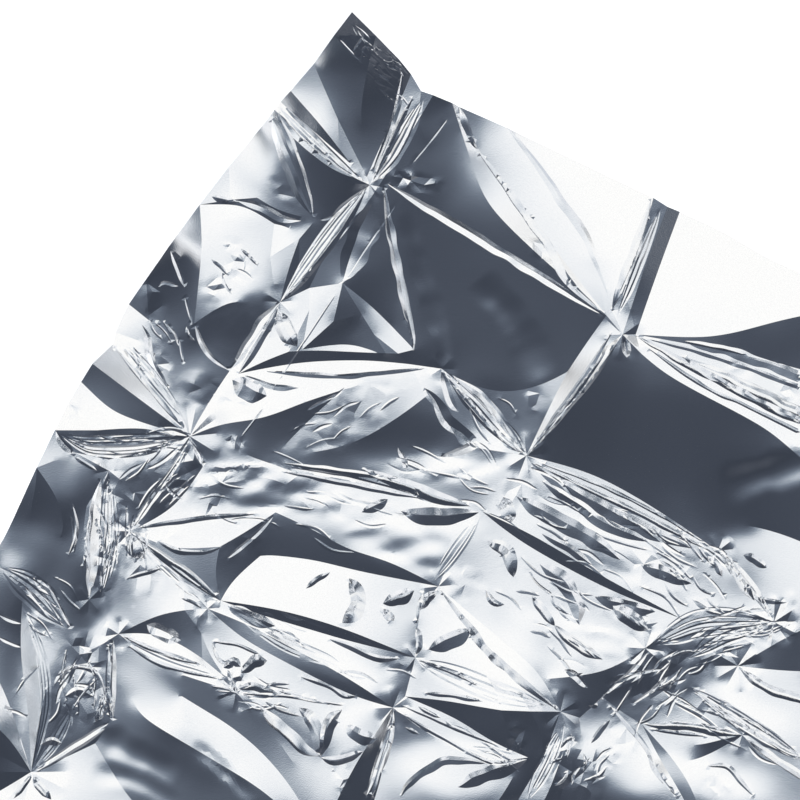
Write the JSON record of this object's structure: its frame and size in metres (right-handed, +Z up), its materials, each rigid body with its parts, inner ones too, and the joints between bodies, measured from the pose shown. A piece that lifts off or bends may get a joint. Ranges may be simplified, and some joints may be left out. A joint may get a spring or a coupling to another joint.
{
  "type": "emergency foil blanket, cut length",
  "caption": "Square-cut length of thin metallised emergency blanket film, opened out of its pack folds and laid down creased.",
  "frame": {"origin": "middle of the sheet's bounding box in plan, at the floor it lies on", "axes": "+Z up; +X along the short cut edge from the free corner; +Y along the long cut edge, towards the free corner's side"},
  "size_m": [0.409, 0.4452, 0.0354],
  "materials": {
    "metallised_film": "mirror-bright, creased"
  },
  "bodies": {
    "root": {"foil_sheet": "metallised_film"}
  },
  "joints": []
}
